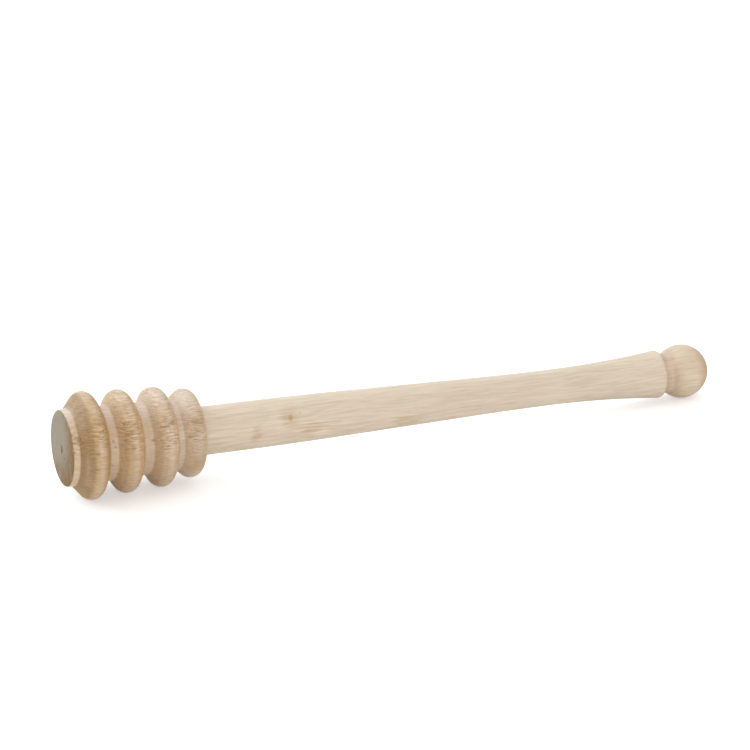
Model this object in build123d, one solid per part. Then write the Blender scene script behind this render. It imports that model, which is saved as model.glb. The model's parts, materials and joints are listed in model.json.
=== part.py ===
from build123d import *
import math
import os

# A honey dipper, in millimetres: a ringed head glued on the tenon of a tapered handle.
# Both are drawn as an outline of stations along the turning axis and radii from it, station zero
# being the head's flat front face. The finished dipper lies on the table, on its largest ring and its ball.

# The whole dipper
overall_length = 165.0

# The head's front boss and its flat face
boss_radius = 8.85
boss_length = 1.65
boss_rim_round = 0.35

# The four rings, front to back. A flank spreads by this much beyond the round nose before it meets the groove.
ring_nose_radius = 2.3
ring_1_crest_radius = 12.45
ring_1_front_spread = 1.8
ring_1_back_spread = 0.75
ring_2_crest_radius = 11.9
ring_2_front_spread = 0.95
ring_2_back_spread = 0.55
ring_3_crest_radius = 11.55
ring_3_front_spread = 0.8
ring_3_back_spread = 0.3
ring_4_crest_radius = 10.3
ring_4_front_spread = 0.75
ring_4_back_spread = 0.15

# The flat bottoms of the three grooves, and the flat rim round the hole at the head's back
groove_1_width = 2.1
groove_1_radius = 8.65
groove_2_width = 2.45
groove_2_radius = 8.4
groove_3_width = 1.55
groove_3_radius = 8.35
back_rim_width = 0.35

# The glued joint: a round tenon in a blind drilled hole
tenon_radius = 4.0
tenon_length = 20.0
tenon_tip_bevel = 0.6
glue_thickness = 0.1
hole_end_gap = 1.0
hole_mouth_bevel = 0.4
drill_point_angle = 118.0

# The handle's shaft: straight, then a taper down to the waist, then a flare up to the shoulder. The taper's two
# ends and the bends that round them off are shares of the shaft's length, from the head to the shoulder.
shaft_root_radius = 5.65
shaft_waist_radius = 4.31
taper_start_share = 0.183
taper_start_bend_share = 0.134
taper_end_share = 0.677
taper_end_bend_share = 0.077

# The shoulder, the neck behind it and the ball
shoulder_radius = 5.85
shoulder_round = 0.7
neck_depth = 0.95
knob_length = 13.0
ball_radius = 6.55

rings = [
    (ring_1_crest_radius, ring_1_front_spread, ring_1_back_spread),
    (ring_2_crest_radius, ring_2_front_spread, ring_2_back_spread),
    (ring_3_crest_radius, ring_3_front_spread, ring_3_back_spread),
    (ring_4_crest_radius, ring_4_front_spread, ring_4_back_spread),
]
grooves = [
    (groove_1_width, groove_1_radius),
    (groove_2_width, groove_2_radius),
    (groove_3_width, groove_3_radius),
]

bore_radius = tenon_radius + glue_thickness
back_rim_radius = shaft_root_radius + back_rim_width
ball_centre = overall_length - ball_radius
shoulder_end = overall_length - knob_length
neck_radius = shoulder_radius - neck_depth


def ring_stations():
    """Each ring's front foot, crest and back foot along the axis."""
    stations = []
    foot = boss_length
    for index, (crest_radius, front_spread, back_spread) in enumerate(rings):
        crest = foot + front_spread + ring_nose_radius
        back_foot = crest + ring_nose_radius + back_spread
        stations.append((foot, crest, back_foot))
        if index < len(grooves):
            foot = back_foot + grooves[index][0]
    return stations


def flank_touch(foot, nose_centre, side):
    """Where a straight flank from its foot touches the ring's round nose. Side is 1 in front, -1 behind."""
    along = nose_centre[0] - foot[0]
    outward = nose_centre[1] - foot[1]
    distance = math.hypot(along, outward)
    direction = math.atan2(outward, along) + side * math.asin(ring_nose_radius / distance)
    reach = math.sqrt(distance**2 - ring_nose_radius**2)
    return (foot[0] + reach * math.cos(direction), foot[1] + reach * math.sin(direction))


def rounded_corner(centre, radius):
    """A quarter round from straight in front of its centre to straight outwards, as three points."""
    diagonal = radius * math.sqrt(0.5)
    front = (centre[0] - radius, centre[1])
    middle = (centre[0] - diagonal, centre[1] + diagonal)
    outer = (centre[0], centre[1] + radius)
    return front, middle, outer


def step_towards(start, end, distance):
    """The point that lies this far from the start on the way to the end."""
    share = distance / math.hypot(end[0] - start[0], end[1] - start[1])
    return (start[0] + share * (end[0] - start[0]), start[1] + share * (end[1] - start[1]))


def turned(edges):
    """The solid that a closed outline sweeps round the X axis. Stations run along X, and radii rise from it."""
    return revolve(Plane.XZ * make_face(edges), Axis.X)


stations = ring_stations()
head_length = stations[-1][2]
head_feet = [boss_radius] + [radius for width, radius in grooves] + [back_rim_radius]


def make_head():
    front, middle, outer = rounded_corner((boss_rim_round, boss_radius - boss_rim_round), boss_rim_round)
    edges = [Line((0, 0), front), ThreePointArc(front, middle, outer)]
    here = outer
    for index, (foot, crest, back_foot) in enumerate(stations):
        crest_radius = rings[index][0]
        nose_centre = (crest, crest_radius - ring_nose_radius)
        front_foot = (foot, head_feet[index])
        rear_foot = (back_foot, head_feet[index + 1])
        rise = flank_touch(front_foot, nose_centre, 1)
        fall = flank_touch(rear_foot, nose_centre, -1)
        edges.append(Line(here, front_foot))
        edges.append(Line(front_foot, rise))
        edges.append(ThreePointArc(rise, (crest, crest_radius), fall))
        edges.append(Line(fall, rear_foot))
        here = rear_foot

    # the flat back, then the drilled hole down to the cone that the drill's point leaves
    hole_end = head_length - tenon_length - hole_end_gap
    cone_length = bore_radius / math.tan(math.radians(drill_point_angle / 2))
    hole = [
        here,
        (head_length, bore_radius + hole_mouth_bevel),
        (head_length - hole_mouth_bevel, bore_radius),
        (hole_end, bore_radius),
        (hole_end - cone_length, 0),
        (0, 0),
    ]
    edges += [Line(start, end) for start, end in zip(hole, hole[1:])]
    return turned(edges)


def make_handle():
    tip = head_length - tenon_length
    tenon = [
        (tip, 0),
        (tip, tenon_radius - tenon_tip_bevel),
        (tip + tenon_tip_bevel, tenon_radius),
        (head_length, tenon_radius),
        (head_length, shaft_root_radius),
    ]
    edges = [Line(start, end) for start, end in zip(tenon, tenon[1:])]

    shaft_end = shoulder_end - shoulder_round
    shaft_length = shaft_end - head_length
    taper_start = (head_length + taper_start_share * shaft_length, shaft_root_radius)
    taper_end = (head_length + taper_end_share * shaft_length, shaft_waist_radius)
    start_bend = taper_start_bend_share * shaft_length
    end_bend = taper_end_bend_share * shaft_length
    straight_end = (taper_start[0] - start_bend, shaft_root_radius)
    cone_start = step_towards(taper_start, taper_end, start_bend)
    cone_end = step_towards(taper_end, taper_start, end_bend)
    waist = (taper_end[0] + end_bend, shaft_waist_radius)
    taper_direction = (taper_end[0] - taper_start[0], taper_end[1] - taper_start[1])
    edges.append(Line(tenon[-1], straight_end))
    edges.append(TangentArc(straight_end, cone_start, tangent=(1, 0)))
    edges.append(Line(cone_start, cone_end))
    edges.append(TangentArc(cone_end, waist, tangent=taper_direction))
    edges.append(TangentArc(waist, (shaft_end, shoulder_radius), tangent=(1, 0)))

    # the shoulder's rounded edge is the same quarter round, turned to face the ball
    diagonal = shoulder_round * math.sqrt(0.5)
    round_centre = (shaft_end, shoulder_radius - shoulder_round)
    round_middle = (round_centre[0] + diagonal, round_centre[1] + diagonal)
    round_end = (shoulder_end, round_centre[1])
    neck_end = (ball_centre - math.sqrt(ball_radius**2 - neck_radius**2), neck_radius)
    edges.append(ThreePointArc((shaft_end, shoulder_radius), round_middle, round_end))
    edges.append(Line(round_end, (shoulder_end, neck_radius)))
    edges.append(Line((shoulder_end, neck_radius), neck_end))
    edges.append(ThreePointArc(neck_end, (ball_centre, ball_radius), (overall_length, 0)))
    edges.append(Line((overall_length, 0), (tip, 0)))
    return turned(edges)


def make_glue_film():
    start = head_length - tenon_length + tenon_tip_bevel
    end = head_length - hole_mouth_bevel
    corners = [(start, tenon_radius), (start, bore_radius), (end, bore_radius), (end, tenon_radius)]
    edges = [Line(a, b) for a, b in zip(corners, corners[1:] + corners[:1])]
    return turned(edges)


def resting_lean():
    """How far the ball's end drops when the ball and one ring both touch the table, in degrees."""
    leans = []
    for index, (foot, crest, back_foot) in enumerate(stations):
        along = ball_centre - crest
        outward = rings[index][0] - ring_nose_radius
        slope = math.asin((ball_radius - ring_nose_radius) / math.hypot(along, outward))
        leans.append(math.degrees(math.atan2(outward, along) - slope))
    return max(leans)


lean = resting_lean()
nodes = {"head": make_head(), "handle": make_handle(), "glue_film": make_glue_film()}
lying = {name: Rot(0, lean, 0) * solid for name, solid in nodes.items()}

# the origin is on the table, under the middle of the box that the dipper fills
box = Compound(list(lying.values())).bounding_box()
to_origin = Pos(-box.center().X, -box.center().Y, -box.min.Z)

os.makedirs("parts", exist_ok=True)
for name, solid in lying.items():
    placed = to_origin * solid
    placed.label = name
    export_step(placed, f"parts/{name}.step")
    print(name, "volume", round(placed.volume, 1), "solids", len(placed.solids()))

face_centre = to_origin.position
print("head length", round(head_length, 3), "lean", round(lean, 4))
print("box", box.size)
print("front face centre", face_centre, "normal", (-math.cos(math.radians(lean)), 0, math.sin(math.radians(lean))))
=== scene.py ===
import json
import math

import bpy
from mathutils import Matrix, Vector


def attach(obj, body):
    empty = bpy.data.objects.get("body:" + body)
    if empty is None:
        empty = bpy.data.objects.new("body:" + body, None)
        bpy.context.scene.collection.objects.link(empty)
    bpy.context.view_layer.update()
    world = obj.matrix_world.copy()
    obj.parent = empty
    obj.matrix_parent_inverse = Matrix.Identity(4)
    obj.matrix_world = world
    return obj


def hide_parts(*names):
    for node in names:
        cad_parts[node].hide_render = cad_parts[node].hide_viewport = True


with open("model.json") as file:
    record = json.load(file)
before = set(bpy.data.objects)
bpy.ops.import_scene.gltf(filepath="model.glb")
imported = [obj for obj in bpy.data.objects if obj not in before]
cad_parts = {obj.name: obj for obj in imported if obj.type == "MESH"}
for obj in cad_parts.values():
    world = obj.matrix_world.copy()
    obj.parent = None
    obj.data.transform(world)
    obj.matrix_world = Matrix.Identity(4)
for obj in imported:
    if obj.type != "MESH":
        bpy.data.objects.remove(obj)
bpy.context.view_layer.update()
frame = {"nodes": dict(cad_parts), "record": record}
print("frame loaded, nodes:", ", ".join(sorted(frame["nodes"])))

mm = 0.001

# the dipper lies on its largest ring and its ball, so its turning axis leans a little;
# the axis starts in the middle of the flat front face
frontFace = frame["record"]["mounts"][0]
frontPoint = Vector(frontFace["pos_m"])
axisDirection = -Vector(frontFace["axis"])
lean = math.atan2(-axisDirection.z, axisDirection.x)


class Wire:
    # a node's output that can stand in a Python expression; a bare one only has its tree
    def __init__(self, tree, socket=None):
        self.tree = tree
        self.socket = socket

    def add(self, kind, settings=None, values=None, output=0):
        node = self.tree.nodes.new(kind)
        for name, value in (settings or {}).items():
            setattr(node, name, value)
        for name, value in (values or {}).items():
            if isinstance(value, Wire):
                self.tree.links.new(value.socket, node.inputs[name])
            else:
                node.inputs[name].default_value = value
        return Wire(self.tree, node.outputs[output] if node.outputs else None)

    def out(self, name):
        # another output of the same node
        return Wire(self.tree, self.socket.node.outputs[name])

    def vector(self, x, y, z):
        return self.add("ShaderNodeCombineXYZ", None, {0: x, 1: y, 2: z})

    def apply(self, operation, first, second):
        # numbers go through a Math node; as soon as one side is a colour or a vector, both are made one
        sides = (first, second)
        threefold = [v for v in sides if isinstance(v, (tuple, Vector))]
        threefold += [v for v in sides if isinstance(v, Wire) and v.socket.type in ("VECTOR", "RGBA")]
        if not threefold:
            return self.add("ShaderNodeMath", {"operation": operation}, dict(enumerate(sides)))
        sides = [(v, v, v) if isinstance(v, (int, float)) else v for v in sides]
        return self.add("ShaderNodeVectorMath", {"operation": operation}, dict(enumerate(sides)))

    def __add__(self, other):
        return self.apply("ADD", self, other)

    def __radd__(self, other):
        return self.apply("ADD", other, self)

    def __sub__(self, other):
        return self.apply("SUBTRACT", self, other)

    def __rsub__(self, other):
        return self.apply("SUBTRACT", other, self)

    def __mul__(self, other):
        return self.apply("MULTIPLY", self, other)

    def __rmul__(self, other):
        return self.apply("MULTIPLY", other, self)

    def __truediv__(self, other):
        return self.apply("DIVIDE", self, other)

    def __rtruediv__(self, other):
        return self.apply("DIVIDE", other, self)


def emptyTree(owner):
    # a material's or a world's own tree, with nothing in it yet
    owner.use_nodes = True
    owner.node_tree.nodes.clear()
    return Wire(owner.node_tree)


# small helpers for trees, each a node or two
def maths(operation, first, second=0.0):
    return first.apply(operation, first, second)


def split(vector):
    parts = vector.add("ShaderNodeSeparateXYZ", None, {0: vector})
    return parts, parts.out("Y"), parts.out("Z")


def lengthOf(vector):
    return vector.add("ShaderNodeVectorMath", {"operation": "LENGTH"}, {0: vector}, "Value")


def dot(vector, direction):
    sides = {0: vector, 1: direction}
    return vector.add("ShaderNodeVectorMath", {"operation": "DOT_PRODUCT"}, sides, "Value")


def smooth(value, low, high):
    # 0 at low, 1 at high, eased in between
    settings = {"interpolation_type": "SMOOTHSTEP"}
    return value.add("ShaderNodeMapRange", settings, {"Value": value, "From Min": low, "From Max": high})


def noise(vector, shift=0.0, detail=2.0, roughness=0.5):
    # cloudy values round 0.5; each shift gives another cloud
    settings = {"noise_dimensions": "4D"}
    values = {"Vector": vector, "W": shift, "Scale": 1.0, "Detail": detail, "Roughness": roughness}
    return vector.add("ShaderNodeTexNoise", settings, values)


def mixed(first, second, share):
    # the second colour over the first, by share; 6, 7 and output 2 are the node's colour sockets
    return share.add("ShaderNodeMix", {"data_type": "RGBA"}, {0: share, 6: first, 7: second}, 2)


def tone(red, green, blue):
    # a colour as it looks on the screen, each part from 0 to 255, on the screen's own sRGB curve
    parts = [value / 255 for value in (red, green, blue)]
    linear = [p / 12.92 if p <= 0.04045 else ((p + 0.055) / 1.055) ** 2.4 for p in parts]
    return (*linear, 1.0)


# outlines: stations along the turning axis and radii from it, in millimetres
def runTo(points, end, stride):
    # a straight run in even strides
    start = points[-1]
    count = max(1, math.ceil((end - start).length / stride))
    points += [start.lerp(end, step / count) for step in range(1, count + 1)]


def bendFrom(points, centre, turn, stride, fewest=3, widestStep=math.radians(15)):
    # an arc round the centre, from the last point, in short enough and flat enough steps
    arm = points[-1] - centre
    forStride = math.ceil(abs(turn) * arm.length / stride)
    forAngle = math.ceil(abs(turn) / widestStep)
    count = max(fewest, forStride, forAngle)
    points += [centre + Matrix.Rotation(turn * step / count, 2) @ arm for step in range(1, count + 1)]


def roundedRun(corners, stride):
    # straight runs through corners of (station, radius, rounding), each corner an arc of its rounding
    points = [Vector(corners[0][:2])]
    for before, here, after in zip(corners, corners[1:], corners[2:]):
        corner = Vector(here[:2])
        heading = (corner - Vector(before[:2])).normalized()
        leaving = (Vector(after[:2]) - corner).normalized()
        turn = math.atan2(heading.x * leaving.y - heading.y * leaving.x, heading.dot(leaving))
        reach = here[2] * math.tan(abs(turn) / 2)
        runTo(points, corner - reach * heading, stride)
        if reach > 0:
            inward = Vector((-heading.y, heading.x)) * math.copysign(here[2], turn)
            bendFrom(points, points[-1] + inward, turn, stride)
    runTo(points, Vector(corners[-1][:2]), stride)
    return points


def crossing(a, b, c, d):
    # where the line through a and b meets the line through c and d
    along, other = b - a, d - c
    share = ((c - a).x * other.y - (c - a).y * other.x) / (along.x * other.y - along.y * other.x)
    return a + share * along


def touching(point, centre, radius, side):
    # where a straight line from the point touches a circle
    toCentre = centre - point
    swing = math.asin(radius / toCentre.length) * side
    reach = math.sqrt(toCentre.length**2 - radius**2)
    return point + Matrix.Rotation(swing, 2) @ toCentre.normalized() * reach


latheValues = {
    # the wobble of the sanding fades in within this distance of the axis
    "steadyRadius": 2 * mm,
    # doubled points nearer than this merge
    "mergeReach": 0.001 * mm,
}


def latheTree(values):
    # turns an outline, drawn in X and Z, round the X axis, and lays it where the dipper lies
    tree = bpy.data.node_groups.new("turnedWood", "GeometryNodeTree")
    face = tree.interface
    face.new_socket("Outline", in_out="INPUT", socket_type="NodeSocketGeometry")
    for name, kind in (
        ("Steps round", "NodeSocketInt"),
        ("Hand wobble", "NodeSocketFloat"),
        ("Wobble grain", "NodeSocketFloat"),
        ("Seed", "NodeSocketFloat"),
        ("Sharp from", "NodeSocketFloat"),
        ("Lean", "NodeSocketFloat"),
        ("Front", "NodeSocketVector"),
        ("Wood", "NodeSocketMaterial"),
    ):
        face.new_socket(name, in_out="INPUT", socket_type=kind)
    face.new_socket("Turned", in_out="OUTPUT", socket_type="NodeSocketGeometry")

    start = Wire(tree).add("NodeGroupInput")
    outline, steps = start.out("Outline"), start.out("Steps round")
    points = start.add("GeometryNodeAttributeDomainSize", {"component": "MESH"}, {"Geometry": outline})
    columns = steps + 1
    sheet = start.add("GeometryNodeMeshGrid", None, {"Vertices X": points, "Vertices Y": columns})

    # the grid's points run round the axis first, then along the outline; the half point keeps a row's first
    # point from slipping into the row before
    index = start.add("GeometryNodeInputIndex")
    row = maths("FLOOR", (index + 0.5) / columns)
    angle = (index - row * columns) / steps * math.tau
    here = start.add("GeometryNodeInputPosition")
    station = start.add(
        "GeometryNodeSampleIndex",
        {"data_type": "FLOAT_VECTOR", "domain": "POINT"},
        {"Geometry": outline, "Value": here, "Index": row},
    )
    along, _, radius = split(station)
    across, upward = maths("COSINE", angle), maths("SINE", angle)
    turned = start.vector(along, radius * across, radius * upward)

    # no piece is sanded perfectly round; the middle of each end stays put
    grain = turned * start.out("Wobble grain")
    uneven = noise(grain, start.out("Seed"), 1.0) * 2 - 1
    push = uneven * start.out("Hand wobble") * smooth(radius, 0.0, values["steadyRadius"])
    turned = turned + start.vector(0, push * across, push * upward)

    sheet = start.add("GeometryNodeSetPosition", None, {"Geometry": sheet, "Position": turned})
    sheet = start.add("GeometryNodeMergeByDistance", None, {
        "Geometry": sheet,
        "Distance": values["mergeReach"],
    })
    sheet = start.add("GeometryNodeSetShadeSmooth", {"domain": "FACE"}, {
        "Geometry": sheet,
        "Shade Smooth": True,
    })

    # an edge sharper than the given angle keeps its crease
    crease = start.add("GeometryNodeInputMeshEdgeAngle")
    sharp = maths("GREATER_THAN", crease, start.out("Sharp from"))
    sheet = start.add("GeometryNodeSetShadeSmooth", {"domain": "EDGE"}, {
        "Geometry": sheet,
        "Selection": sharp,
        "Shade Smooth": False,
    })
    laid = start.add("GeometryNodeTransform", None, {
        "Geometry": sheet,
        "Translation": start.out("Front"),
        "Rotation": start.vector(0, start.out("Lean"), 0),
    })
    laid = start.add("GeometryNodeRealizeInstances", None, {"Geometry": laid})
    laid = start.add("GeometryNodeSetMaterial", None, {"Geometry": laid, "Material": start.out("Wood")})
    start.add("NodeGroupOutput", None, {"Turned": laid})
    return tree


lathe = latheTree(latheValues)


def turnOnLathe(name, outline, material, values):
    # the outline becomes a loose string of points, the lathe's tree makes the solid, and a plain mesh is kept
    string = bpy.data.meshes.new(name + "Outline")
    string.from_pydata([(p.x * mm, 0, p.y * mm) for p in outline], [], [])
    maker = bpy.data.objects.new(name + "Outline", string)
    bpy.context.scene.collection.objects.link(maker)
    modifier = maker.modifiers.new("lathe", "NODES")
    modifier.node_group = lathe
    given = {
        "Steps round": values["stepsRound"],
        "Hand wobble": values["handWobble"] * mm,
        "Wobble grain": values["wobbleGrain"] / mm,
        "Seed": values["seed"],
        "Sharp from": math.radians(values["sharpFrom"]),
        "Lean": lean,
        "Front": frontPoint,
        "Wood": material,
    }
    for item in lathe.interface.items_tree:
        if item.name in given:
            modifier[item.identifier] = given[item.name]
    maker.update_tag()
    graph = bpy.context.evaluated_depsgraph_get()
    mesh = bpy.data.meshes.new_from_object(maker.evaluated_get(graph), depsgraph=graph)
    maker.modifiers.remove(modifier)
    bpy.data.objects.remove(maker)
    mesh.name = name
    piece = bpy.data.objects.new(name, mesh)
    bpy.context.scene.collection.objects.link(piece)
    print(name, "turned:", len(outline), "outline points,", len(mesh.polygons), "faces")
    return piece


# wood
def alongTones(station, tones, fades):
    # one tone after another along the axis, each new one fading in between two stations
    colour = tones[0]
    for later, (begin, end) in zip(tones[1:], fades):
        colour = mixed(colour, later, smooth(station, begin, end))
    return colour


def nearness(place, centre, size, core=0.15):
    # 1 in a spot's core, 0 from its edge outwards
    return 1 - smooth(lengthOf((place - centre) / size), core, 1.0)


# what both woods share
sharedLook = {
    # each noise's shift from the piece's seed, then its detail and its roughness
    "noises": {
        "warp": (0, 2.0, 0.5),
        "strength": (3, 1.0, 0.5),
        "fibre": (5, 3.0, 0.65),
        "streak": (7, 2.0, 0.55),
        "wave": (9, 1.0, 0.5),
        "patch": (11, 3.0, 0.6),
        "weather": (13, 4.0, 0.65),
        "blush": (17, 2.0, 0.5),
        "ray": (19, 2.0, 0.6),
        "fleck": (23, 1.0, 0.5),
    },
    # a growth layer darkens over the first span of its thickness and ends over the second
    "lateRise": (0.25, 0.93),
    "lateDrop": (0.93, 1.0),
    # between which values of its noise each figure sets in
    "strengthFade": (0.3, 0.75),
    "streakFade": (0.5, 0.8),
    "paleFade": (0.2, 0.5),
    "blushFade": (0.45, 0.75),
    "fibreFade": (0.5, 0.72),
    "rayFade": (0.32, 0.68),
    "paleShare": 0.3,
    "fleckGather": 0.35,
    # how unevenly the darkness of cut fibres sets in, and how much rougher than the rest they are
    "cutRagged": 0.12,
    "cutRough": 0.15,
    "roughGrain": 0.25,
    # raised rays, sunken flecks and the fine lines of the turning, in millimetres
    "rayHeight": 0.006,
    "fleckDepth": 0.03,
    "turningHeight": 0.015,
    "turningGrain": 2.6,
    # no places of painted light, unless a piece names some
    "paintedLightZones": (),
}


def woodNoise(look, kind, vector):
    # one of the wood's noises, stretched to the piece's grain
    shift, detail, roughness = look["noises"][kind]
    return noise(vector * look["grain"][kind], look["seed"] + shift, detail, roughness)


def woodMaterial(name, look):
    material = bpy.data.materials.new(name)
    start = emptyTree(material)
    spot = start.add("ShaderNodeTexCoord", None, None, "Object")
    rings, front, knot = look.get("rings"), look.get("front"), look.get("knot")

    # the dipper's own millimetres: X from the front face along the axis, Y across, Z up
    toDipper = Matrix.Rotation(-lean, 3, "Y")
    place = start.add("ShaderNodeMapping", {"vector_type": "POINT"}, {
        "Vector": spot,
        "Location": toDipper @ frontPoint * -1 / mm,
        "Rotation": (0, -lean, 0),
        "Scale": (1 / mm, 1 / mm, 1 / mm),
    })
    station, across, upward = split(place)
    fromAxis = lengthOf(start.vector(0, across, upward))

    # growth layers wrap round a pith far out at one side, and the trunk wasn't straight
    warp = woodNoise(look, "warp", place) - 0.5
    fromPith = start.vector(0, across - look["pith"][0], upward - look["pith"][1])
    growth = lengthOf(fromPith) + warp * look["warp"]
    if knot:
        swirlReach = lengthOf((place - knot["place"]) / knot["swirlSize"])
        growth = growth + knot["swirl"] * maths("EXPONENT", swirlReach * swirlReach * -1)
    layer = maths("FRACT", growth / look["layer"])
    late = smooth(layer, *look["lateRise"]) - smooth(layer, *look["lateDrop"])
    strength = woodNoise(look, "strength", start.vector(growth, station, across))
    late = late * smooth(strength, *look["strengthFade"])

    # fibres run along the axis, so they are lines on the side and dots on the end
    fibre = woodNoise(look, "fibre", place)

    # rays are thin upright sheets that run out from the pith, so they show as short dashes on the side that
    # faces it and as long lines above and below; the streaks follow the same directions
    toPith = Vector((0, *look["pith"])).normalized()
    roundPith = Vector((0, -toPith.z, toPith.y))
    wave = (woodNoise(look, "wave", place) - 0.5) * look["waveHeight"]
    sheets = start.vector(station, dot(place, toPith), dot(place, roundPith) + wave)
    ray = woodNoise(look, "ray", sheets)
    streak = woodNoise(look, "streak", sheets)

    # the more steeply the surface cuts the fibres, the more dirt it drinks in and the darker it looks; a
    # surface that faces the ball's end is darkened further, as painted shade
    rearward = dot(spot.out("Normal"), axisDirection)
    facing = maths("ABSOLUTE", rearward) + (streak - 0.5) * look["cutRagged"]
    slant = smooth(facing, *look["slantFade"])
    cut = smooth(facing, *look["cutFade"])
    sideTone = alongTones(station, look["sideTones"], look["toneFades"])
    slantTone = alongTones(station, look["slantTones"], look["toneFades"])
    cutTone = alongTones(station, look["cutTones"], look["toneFades"])
    colour = mixed(mixed(sideTone, slantTone, slant), cutTone, cut)
    # painted shade: surfaces that face the ball's end are darkened
    colour = colour * (1 - smooth(rearward, *look["rearShadeFade"]) * look["rearShadeHue"])
    if rings:
        crest = smooth(fromAxis, *rings["crestFade"])
        colour = mixed(colour, rings["crestTone"], crest * rings["crestShare"])

    # the wood's figure
    colour = mixed(colour, look["lateTone"], late * look["lateShare"])
    colour = mixed(colour, look["streakTone"], smooth(streak, *look["streakFade"]) * look["streakShare"])
    pale = (1 - smooth(streak, *look["paleFade"])) * (1 - slant)
    colour = mixed(colour, look["paleTone"], pale * look["paleShare"])
    blush = smooth(woodNoise(look, "blush", place), *look["blushFade"])
    colour = mixed(colour, look["blushTone"], blush * look["blushShare"])

    # painted light: some places are whitened where highlights and bounce light fall
    for centre, size, strength in look["paintedLightZones"]:
        colour = mixed(colour, look["paintedLightTone"], nearness(place, centre, size) * strength)

    # rays, brown patches and flecks gather in a few places, and a ray darkens its place, the blue most
    zone = 0.0
    for centre, size, strength in look["patchZones"]:
        zone = nearness(place, centre, size) * strength + zone
    colour = mixed(colour, look["fibreTone"], smooth(fibre, *look["fibreFade"]) * look["fibreShare"])
    figured = look["rayShare"] + zone
    if rings:
        figured = figured + slant * rings["slantRays"] + crest * rings["crestRays"]
        figured = figured * (smooth(upward, *rings["lowFade"]) * rings["lowGain"] + (1 - rings["lowGain"]))
    shade = (0.5 - smooth(ray, *look["rayFade"])) * figured
    colour = colour * (shade * look["rayHue"] + 1)
    patch = woodNoise(look, "patch", place) + (ray - 0.5) * look["patchRay"]
    patch = smooth(patch + zone, *look["patchFade"])
    colour = mixed(colour, look["patchTone"], patch * look["patchShare"])
    fleck = woodNoise(look, "fleck", place)
    fleck = smooth(fleck + zone * look["fleckGather"], *look["fleckFade"])
    colour = mixed(colour, look["fleckTone"], fleck * look["fleckShare"])
    rough = look["roughness"] + (fibre - 0.5) * look["roughGrain"] + cut * look["cutRough"]

    # the flat front is weathered grey, browner towards one side, with the dark mark of the lathe's centre
    if front:
        weather = woodNoise(look, "weather", sheets)
        ragged = (weather - 0.5) * front["brownRagged"]
        brown = smooth(lengthOf(place - front["brownCentre"]) + ragged, *front["brownFade"])
        worn = mixed(front["grey"], front["brown"], brown)
        worn = mixed(worn, front["dark"], smooth(fibre, *front["darkFade"]) * front["dots"])
        worn = mixed(worn, front["pale"], smooth(weather, *front["paleFade"]) * front["dots"])
        worn = mixed(worn, front["pitTone"], nearness(place, front["pitPlace"], front["pitSize"]))
        onFront = 1 - smooth(station, *front["fade"])
        colour = mixed(colour, worn, onFront)
        rough = rough + onFront * front["rough"]

    for centre, size in look["marks"]:
        colour = mixed(colour, look["fleckTone"], nearness(place, centre, size) * look["markShare"])
    if knot:
        knotReach = lengthOf((place - knot["place"]) / knot["size"])
        halo = 1 - smooth(knotReach, *knot["haloFade"])
        core = 1 - smooth(knotReach, *knot["coreFade"])
        colour = mixed(colour, look["streakTone"], halo * knot["haloShare"])
        colour = mixed(colour, knot["tone"], core * knot["share"])

    # raised grain, and the fine lines that the turning left
    turning = noise(start.vector(station, fromAxis, 0) * look["turningGrain"])
    height = ray * look["rayHeight"] - fleck * look["fleckDepth"] + turning * look["turningHeight"]
    bump = start.add("ShaderNodeBump", None, {"Strength": 1.0, "Distance": mm, "Height": height})
    shader = start.add("ShaderNodeBsdfPrincipled", None, {
        "Base Color": colour,
        "Roughness": rough,
        "Specular IOR Level": look["specular"],
        "Normal": bump,
    })
    start.add("ShaderNodeOutputMaterial", None, {"Surface": shader})
    return material


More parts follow.
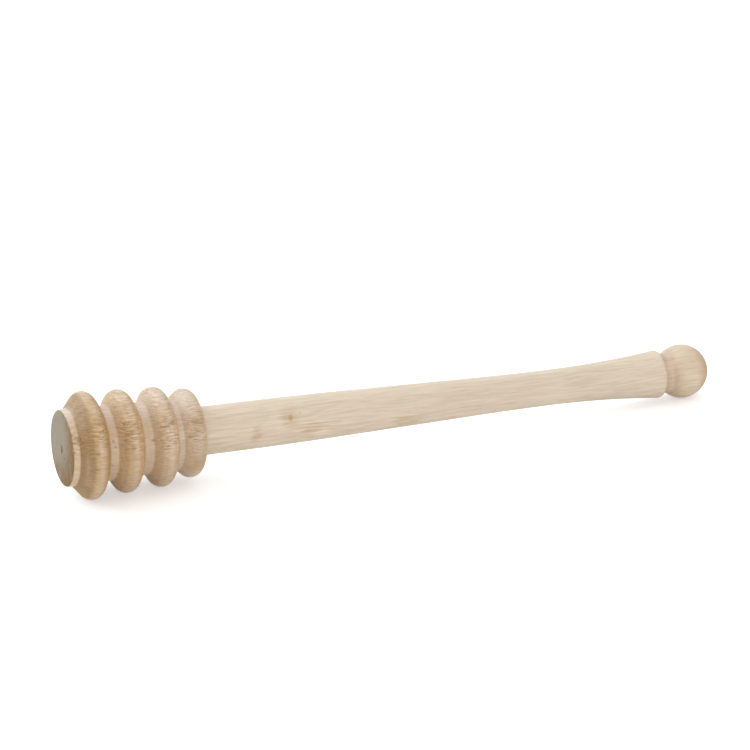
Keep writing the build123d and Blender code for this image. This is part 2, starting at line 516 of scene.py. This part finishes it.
# the head
headValues = {
    # the lathe's centre left a small pit in the flat front
    "pitRadius": 0.7,
    "pitDepth": 0.45,
    "bossRadius": 8.85,
    "bossLength": 1.65,
    "rimRound": 0.5,
    "noseRadius": 2.3,
    # each ring's crest radius, then how far its front and back flanks spread beyond the nose
    "rings": ((12.45, 1.8, 0.75), (11.9, 0.95, 0.55), (11.55, 0.8, 0.3), (10.3, 0.75, 0.15)),
    # each groove's width and radius
    "grooves": ((2.1, 8.65), (2.45, 8.4), (1.55, 8.35)),
    "footRound": 0.5,
    "backRimRadius": 6.0,
    "holeRadius": 4.1,
    "holeDepth": 21.0,
    "holeMouthBevel": 0.4,
    "drillPoint": 118,
    "stride": 0.4,
    "stepsRound": 220,
    "handWobble": 0.02,
    "wobbleGrain": 0.16,
    "seed": 4.0,
    "sharpFrom": 35,
    "look": {
        **sharedLook,
        "seed": 21.0,
        # grain counts per millimetre along the dipper, across it and up; the rays, streaks and weathering
        # go along it, out from the pith and round it, and the layers' strength out from the pith, along
        # and across
        "grain": {
            "warp": (0.025, 0.11, 0.11),
            "strength": (0.45, 0.01, 0.02),
            "fibre": (0.4, 2.2, 2.2),
            "wave": (0.5, 0.2, 0.5),
            "ray": (0.4, 0.5, 4.6),
            "streak": (0.08, 0.9, 0.3),
            "blush": (0.2, 0.3, 0.3),
            "patch": (0.6, 1.0, 2.4),
            "fleck": (1.1, 2.6, 2.6),
            "weather": (0.1, 0.6, 0.22),
        },
        # tones from the front to the back, and where each gives way to the next:
        # along the fibres, across them at a slant, and cut straight
        "sideTones": (
            tone(207, 180, 149),
            tone(200, 173, 143),
            tone(203, 178, 149),
            tone(204, 183, 159),
            tone(188, 163, 134),
        ),
        "slantTones": (
            tone(196, 164, 122),
            tone(195, 161, 116),
            tone(198, 165, 123),
            tone(199, 171, 138),
            tone(190, 162, 128),
        ),
        "cutTones": (
            tone(148, 115, 73),
            tone(148, 115, 73),
            tone(202, 170, 129),
            tone(205, 178, 147),
            tone(204, 177, 147),
        ),
        "toneFades": ((1.6, 2.6), (5.0, 11.0), (15.0, 23.0), (27.6, 29.2)),
        "slantFade": (0.05, 0.45),
        "cutFade": (0.38, 0.8),
        "rearShadeFade": (0.1, 0.5),
        # the share of each colour that a surface facing the ball's end loses, as painted shade
        "rearShadeHue": (0.1, 0.14, 0.2),
        # the pith's place across and up, and the growth layers round it
        "pith": (-26.0, 6.0),
        "warp": 5.0,
        "layer": 0.95,
        "lateTone": tone(166, 128, 88),
        "lateShare": 0.45,
        "streakTone": tone(172, 136, 96),
        "streakShare": 0.35,
        "paleTone": tone(226, 200, 168),
        "blushTone": tone(206, 170, 146),
        "blushShare": 0.25,
        # the whitish tone of the painted highlights and painted bounce light
        "paintedLightTone": tone(232, 216, 202),
        # a middle, a size and a strength for each zone; the zones of painted light are painted highlights on
        # the tops of the boss, the rings and the grooves, painted bounce light under the last ring, and
        # weaker painted light on the rings' sides towards minus Y
        "paintedLightZones": (
            ((0.8, 0.0, 9.4), (2.0, 8.5, 5.0), 0.35),
            ((12.0, -2.0, 11.0), (4.0, 7.0, 5.0), 0.1),
            ((21.0, -2.0, 10.5), (5.0, 7.5, 6.0), 0.25),
            ((28.5, -3.0, 9.5), (5.0, 7.5, 6.5), 0.4),
            ((3.0, -9.9, -0.5), (0.6, 3.0, 4.0), 0.1),
            ((9.9, -2.2, 8.2), (1.6, 5.0, 4.0), 0.28),
            ((18.2, -2.2, 8.0), (1.8, 5.0, 4.0), 0.36),
            ((26.0, -2.2, 8.0), (1.4, 5.0, 4.0), 0.15),
            ((29.5, -5.0, -8.0), (4.0, 5.5, 5.0), 0.6),
            ((29.6, -9.2, 2.0), (3.0, 4.0, 7.0), 0.2),
            ((22.4, -10.6, 3.0), (2.4, 3.0, 7.0), 0.14),
        ),
        "fibreTone": tone(150, 110, 70),
        "fibreShare": 0.2,
        "waveHeight": 0.6,
        "rayHue": (1.0, 1.15, 1.4),
        "rayShare": 0.14,
        # the rings' crests are darker, and their rays stronger on the flanks and crests and weaker low down
        "rings": {
            "crestFade": (9.3, 10.8),
            "crestTone": tone(176, 138, 90),
            "crestShare": 0.2,
            "slantRays": 0.08,
            "crestRays": 0.19,
            "lowFade": (-3.0, 4.0),
            "lowGain": 0.4,
        },
        "patchRay": 0.8,
        "patchZones": (
            ((2.3, -8.2, 4.4), (1.4, 3.0, 1.8), 0.5),
            ((2.6, -8.0, 4.6), (4.5, 6.0, 4.5), 0.2),
            ((5.6, -9.6, 6.6), (4.0, 6.0, 5.5), 0.24),
            ((13.4, -9.2, 6.6), (4.5, 6.0, 6.0), 0.24),
            ((22.3, -9.9, 4.5), (3.5, 6.0, 7.5), 0.2),
            ((29.4, -8.8, 3.5), (3.5, 6.0, 7.5), 0.2),
        ),
        "patchFade": (0.62, 0.95),
        "patchTone": tone(156, 114, 60),
        "patchShare": 0.5,
        "fleckFade": (0.74, 0.82),
        "fleckTone": tone(124, 86, 50),
        "fleckShare": 0.6,
        # single dark marks: a middle and a size for each
        "marks": (
            ((0.4, -7.75, 4.25), (1.3, 1.0, 0.35)),
            ((0.1, -6.7, 5.75), (0.9, 0.8, 0.35)),
            ((0.4, -8.5, 2.3), (0.5, 1.0, 0.5)),
            ((4.8, -11.9, 2.7), (0.8, 1.2, 0.6)),
            ((4.6, -12.1, -0.9), (1.1, 1.2, 0.35)),
            ((13.5, -11.4, 2.8), (0.7, 1.2, 0.45)),
            ((19.1, -7.9, 2.7), (0.8, 1.0, 0.5)),
            ((9.7, -7.9, 3.6), (0.45, 0.9, 0.6)),
            ((10.1, -8.3, 2.4), (0.35, 0.8, 0.5)),
            ((9.3, -8.4, -2.0), (0.6, 0.8, 0.35)),
            ((0.0, -2.3, -1.6), (1.0, 0.9, 0.5)),
        ),
        "markShare": 0.55,
        # the weathered front: how deep it reaches, its greys and browns, and the mark round the pit
        "front": {
            "fade": (0.03, 0.3),
            "grey": tone(151, 136, 118),
            "brown": tone(126, 95, 58),
            "brownCentre": (0.0, 3.5, 2.5),
            "brownRagged": 15.0,
            "brownFade": (4.5, 11.0),
            "dark": tone(128, 108, 80),
            "darkFade": (0.5, 0.75),
            "pale": tone(166, 150, 134),
            "paleFade": (0.5, 0.7),
            "dots": 0.7,
            "rough": 0.4,
            "pitPlace": (0.0, -0.1, -0.3),
            "pitSize": (3.0, 1.1, 1.5),
            "pitTone": tone(92, 70, 48),
        },
        "roughness": 0.42,
        "specular": 0.5,
    },
}


def headOutline():
    values = headValues
    rounding = values["footRound"]
    corners = [(values["pitDepth"], 0, 0), (0, values["pitRadius"], 0)]
    corners.append((0, values["bossRadius"], values["rimRound"]))
    foot = Vector((values["bossLength"], values["bossRadius"]))
    feet = [radius for width, radius in values["grooves"]] + [values["backRimRadius"]]
    gaps = [width for width, radius in values["grooves"]] + [0]
    nose = values["noseRadius"]
    for (crestRadius, frontSpread, backSpread), footRadius, gap in zip(values["rings"], feet, gaps):
        centre = Vector((foot.x + frontSpread + nose, crestRadius - nose))
        rearFoot = Vector((centre.x + nose + backSpread, footRadius))
        rise = touching(foot, centre, nose, 1)
        fall = touching(rearFoot, centre, nose, -1)
        apex = crossing(foot, rise, rearFoot, fall)
        corners += [(*foot, rounding), (*apex, nose), (*rearFoot, rounding)]
        foot = Vector((rearFoot.x + gap, footRadius))
    back = foot.x
    bevel = values["holeMouthBevel"]
    cone = values["holeRadius"] / math.tan(math.radians(values["drillPoint"] / 2))
    corners += [
        (back, values["holeRadius"] + bevel, 0),
        (back - bevel, values["holeRadius"], 0),
        (back - values["holeDepth"], values["holeRadius"], 0),
        (back - values["holeDepth"] - cone, 0, 0),
    ]
    return roundedRun(corners, values["stride"]), back


headPath, headBack = headOutline()
headWood = woodMaterial("headWood", headValues["look"])
head = turnOnLathe("turnedHead", headPath, headWood, headValues)
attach(head, "root")
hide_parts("head")


# the handle
handleValues = {
    "tenonRadius": 4.0,
    "tenonLength": 20.0,
    "tenonTipBevel": 0.6,
    "rootRadius": 5.65,
    "waistRadius": 4.31,
    # where the taper starts and ends, and how far its bends reach, as shares of the shaft
    "taperStart": 0.183,
    "taperStartBend": 0.134,
    "taperEnd": 0.677,
    "taperEndBend": 0.077,
    "shoulderRadius": 5.85,
    "shoulderRound": 0.7,
    "neckRadius": 4.9,
    "neckRound": 0.1,
    "neckHollow": 1.2,
    "knobLength": 13.0,
    "ballRadius": 6.55,
    "overallLength": 165.0,
    "stride": 0.8,
    "hollowStride": 0.2,
    "ballStride": 0.4,
    "stepsRound": 160,
    "handWobble": 0.025,
    "wobbleGrain": 0.12,
    "seed": 9.0,
    "sharpFrom": 35,
    "look": {
        **sharedLook,
        "seed": 55.0,
        # grain counts per millimetre, in the same directions as the head's
        "grain": {
            "warp": (0.025, 0.11, 0.11),
            "strength": (0.45, 0.01, 0.02),
            "fibre": (0.2, 3.4, 3.4),
            "wave": (0.1, 0.1, 0.2),
            "ray": (0.12, 0.5, 2.5),
            "streak": (0.05, 0.8, 0.45),
            "blush": (0.05, 0.25, 0.25),
            "patch": (0.25, 0.9, 1.3),
            "fleck": (1.1, 2.6, 2.6),
        },
        # tones of the shaft, towards the shoulder, at the neck and on the ball; the darker neck tones are
        # painted shade in the hollow between the shoulder and the ball
        "sideTones": (tone(220, 203, 181), tone(217, 200, 179), tone(199, 174, 150), tone(215, 194, 168)),
        "slantTones": (tone(220, 203, 181), tone(217, 200, 179), tone(199, 174, 150), tone(205, 181, 154)),
        "cutTones": (tone(205, 178, 148), tone(205, 178, 148), tone(197, 172, 147), tone(196, 170, 140)),
        "toneFades": ((60.0, 90.0), (151.5, 152.1), (152.4, 155.6)),
        "slantFade": (0.2, 0.7),
        "cutFade": (0.55, 0.95),
        # painted shade: where and how much a surface facing the ball's end is darkened
        "rearShadeFade": (0.1, 0.75),
        "rearShadeHue": (0.2, 0.3, 0.36),
        "pith": (-38.0, 34.0),
        "warp": 3.0,
        "layer": 1.1,
        "lateTone": tone(196, 168, 136),
        "lateShare": 0.28,
        "streakTone": tone(200, 170, 136),
        "streakShare": 0.3,
        "paleTone": tone(230, 216, 198),
        "blushTone": tone(222, 196, 174),
        "blushShare": 0.4,
        "fibreTone": tone(192, 168, 140),
        "fibreShare": 0.3,
        "waveHeight": 0.8,
        "rayHue": (1.0, 1.15, 1.35),
        "rayShare": 0.12,
        "patchRay": 0.5,
        "patchZones": (
            ((59.0, -5.3, -0.6), (6.5, 3.0, 3.0), 0.35),
            ((45.0, -5.4, -0.4), (2.2, 3.0, 3.4), 0.3),
            ((82.5, -4.6, -2.0), (6.0, 3.0, 2.4), 0.2),
            ((52.5, -5.0, 2.4), (3.0, 3.0, 2.2), 0.25),
        ),
        "patchFade": (0.5, 1.0),
        "patchTone": tone(198, 167, 127),
        "patchShare": 0.6,
        "fleckFade": (0.86, 0.92),
        "fleckTone": tone(170, 136, 100),
        "fleckShare": 0.5,
        "marks": (((56.2, -4.4, 3.5), (0.5, 0.8, 0.5)),),
        "markShare": 0.3,
        # a small knot: the layers swirl round it, and it has a soft halo round a darker core
        "knot": {
            "place": (53.6, -4.95, 2.69),
            "size": (0.8, 1.1, 1.1),
            "swirlSize": (5.0, 2.4, 2.4),
            "swirl": 1.5,
            "haloFade": (0.6, 4.5),
            "haloShare": 0.5,
            "coreFade": (0.3, 1.0),
            "share": 0.65,
            "tone": tone(176, 142, 104),
        },
        "roughness": 0.62,
        "specular": 0.3,
    },
}


def handleOutline():
    values = handleValues
    tip = headBack - values["tenonLength"]
    bevel = values["tenonTipBevel"]
    root, waist, shoulder = values["rootRadius"], values["waistRadius"], values["shoulderRadius"]
    ballCentre = values["overallLength"] - values["ballRadius"]
    shoulderEnd = values["overallLength"] - values["knobLength"]
    shaftEnd = shoulderEnd - values["shoulderRound"]
    shaft = shaftEnd - headBack

    # the taper's corners are rounded by bends that reach this far each way
    startCorner = Vector((headBack + values["taperStart"] * shaft, root))
    endCorner = Vector((headBack + values["taperEnd"] * shaft, waist))
    slope = math.atan2(root - waist, (endCorner - startCorner).x)
    startBend = values["taperStartBend"] * shaft / math.tan(slope / 2)
    endBend = values["taperEndBend"] * shaft / math.tan(slope / 2)

    # the flare is one arc from the waist, level there, to the shoulder
    waistEnd = endCorner.x + values["taperEndBend"] * shaft
    flareLength, flareRise = shaftEnd - waistEnd, shoulder - waist
    flareTurn = 2 * math.atan2(flareRise, flareLength)
    flareRadius = flareLength / math.sin(flareTurn)
    flareCorner = waistEnd + flareRadius * math.tan(flareTurn / 2)
    shoulderCorner = Vector((shoulderEnd, shoulder + values["shoulderRound"] * math.tan(flareTurn)))

    corners = [
        (tip, 0, 0),
        (tip, values["tenonRadius"] - bevel, 0),
        (tip + bevel, values["tenonRadius"], 0),
        (headBack, values["tenonRadius"], 0),
        (headBack, root, 0),
        (*startCorner, startBend),
        (*endCorner, endBend),
        (flareCorner, waist, flareRadius),
        (*shoulderCorner, values["shoulderRound"]),
        (shoulderEnd, values["neckRadius"], values["neckRound"]),
    ]

    # the neck runs into the ball in a small hollow
    ball, neck, hollow = values["ballRadius"], values["neckRadius"], values["neckHollow"]
    hollowAngle = math.pi - math.asin((neck + hollow) / (ball + hollow))
    hollowCentre = Vector((ballCentre + (ball + hollow) * math.cos(hollowAngle), neck + hollow))
    path = roundedRun(corners + [(hollowCentre.x, neck, 0)], values["stride"])
    bendFrom(path, hollowCentre, hollowAngle - math.pi / 2, values["hollowStride"])
    bendFrom(path, Vector((ballCentre, 0)), -hollowAngle, values["ballStride"])
    return path


handleWood = woodMaterial("handleWood", handleValues["look"])
handle = turnOnLathe("turnedHandle", handleOutline(), handleWood, handleValues)
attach(handle, "root")
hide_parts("handle")


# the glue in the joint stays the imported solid, with a clouded set glue on it
glueValues = {
    "tone": tone(206, 186, 140),
    "cloudTone": tone(188, 164, 116),
    "cloudGrain": 900.0,
    "cloudSeed": 2.0,
    "cloudDetail": 3.0,
    "cloudFade": (0.35, 0.7),
    "roughness": 0.35,
    "cloudRough": 0.3,
}


def glueMaterial(look):
    material = bpy.data.materials.new("setGlue")
    start = emptyTree(material)
    spot = start.add("ShaderNodeTexCoord", None, None, "Object")
    cloud = noise(spot * look["cloudGrain"], look["cloudSeed"], look["cloudDetail"])
    shader = start.add("ShaderNodeBsdfPrincipled", None, {
        "Base Color": mixed(look["tone"], look["cloudTone"], smooth(cloud, *look["cloudFade"])),
        "Roughness": look["roughness"] + cloud * look["cloudRough"],
    })
    start.add("ShaderNodeOutputMaterial", None, {"Surface": shader})
    return material


glue = frame["nodes"]["glue_film"]
glue.data.materials.clear()
glue.data.materials.append(glueMaterial(glueValues))
print("glue film finished")


# the floor, the lights and the camera
stageValues = {
    "floorSize": 8.0,
    "floorTone": (0.86, 0.86, 0.86, 1.0),
    "floorGlow": 0.42,
    "worldStrength": 0.75,
    # each light's size, power, colour and place; all of them aim at the dipper's middle
    "lights": {
        "key": (0.9, 0.9, (1.0, 1.0, 1.0), (0.35, -0.15, 1.1)),
        "fill": (0.7, 2.6, (1.0, 1.0, 1.0), (0.2, -1.0, 0.12)),
        "back": (1.4, 5.2, (0.7, 0.86, 1.0), (-0.2, 0.8, 0.8)),
        "leftBack": (1.2, 9.0, (0.76, 0.9, 1.0), (-0.85, 0.75, 0.65)),
    },
}

cameraValues = {
    # the photograph's viewing angle, in degrees round the upright and above the floor
    "azimuth": -22.71,
    "elevation": 22.4,
    "distance": 0.7041,
    "aim": (-5.42 * mm, 0, 18.41 * mm),
    "lens": 144,
    "sensorWidth": 36,
    "clipStart": 0.05,
}


def seenWhite(wire):
    # 1 for rays that should see plain white: the camera's own, and what metal or glass would show
    path = wire.add("ShaderNodeLightPath")
    seen = path.out("Is Camera Ray") + path.out("Is Glossy Ray") + path.out("Is Transmission Ray")
    return maths("MINIMUM", seen, 1.0)


def makeFloor(values):
    half = values["floorSize"] / 2
    mesh = bpy.data.meshes.new("floor")
    corners = [(-half, -half, 0), (half, -half, 0), (half, half, 0), (-half, half, 0)]
    mesh.from_pydata(corners, [], [(0, 1, 2, 3)])
    floor = bpy.data.objects.new("floor", mesh)
    bpy.context.scene.collection.objects.link(floor)
    material = bpy.data.materials.new("paleFloor")
    start = emptyTree(material)
    matt = start.add("ShaderNodeBsdfDiffuse", None, {"Color": values["floorTone"]})
    glow = start.add("ShaderNodeEmission", None, {"Strength": seenWhite(start) * values["floorGlow"]})
    both = start.add("ShaderNodeAddShader", None, {0: matt, 1: glow})
    start.add("ShaderNodeOutputMaterial", None, {"Surface": both})
    mesh.materials.append(material)


def makeWorld(values):
    world = bpy.data.worlds.new("studio")
    bpy.context.scene.world = world
    start = emptyTree(world)
    seen = seenWhite(start)
    strength = seen + (1 - seen) * values["worldStrength"]
    sky = start.add("ShaderNodeBackground", None, {"Color": (1, 1, 1, 1), "Strength": strength})
    start.add("ShaderNodeOutputWorld", None, {"Surface": sky})


def areaLight(name, size, power, colour, place):
    lamp = bpy.data.lights.new(name, "AREA")
    lamp.shape = "DISK"
    lamp.size = size
    lamp.energy = power
    lamp.color = colour
    light = bpy.data.objects.new(name, lamp)
    light.location = place
    light.rotation_euler = (-Vector(place)).to_track_quat("-Z", "Y").to_euler()
    bpy.context.scene.collection.objects.link(light)


def makeCamera(values):
    camera = bpy.data.objects.new("camera", bpy.data.cameras.new("camera"))
    camera.data.lens = values["lens"]
    camera.data.sensor_width = values["sensorWidth"]
    camera.data.clip_start = values["clipStart"]
    azimuth, elevation = math.radians(values["azimuth"]), math.radians(values["elevation"])
    level = math.cos(elevation)
    back = Vector((math.sin(azimuth) * level, -math.cos(azimuth) * level, math.sin(elevation)))
    camera.location = Vector(values["aim"]) + back * values["distance"]
    camera.rotation_euler = (-back).to_track_quat("-Z", "Y").to_euler()
    bpy.context.scene.collection.objects.link(camera)
    bpy.context.scene.camera = camera


makeFloor(stageValues)
makeWorld(stageValues)
for lightName, given in stageValues["lights"].items():
    areaLight(lightName, *given)
makeCamera(cameraValues)
bpy.context.scene.view_settings.view_transform = "Standard"
print("floor, lights and camera set")
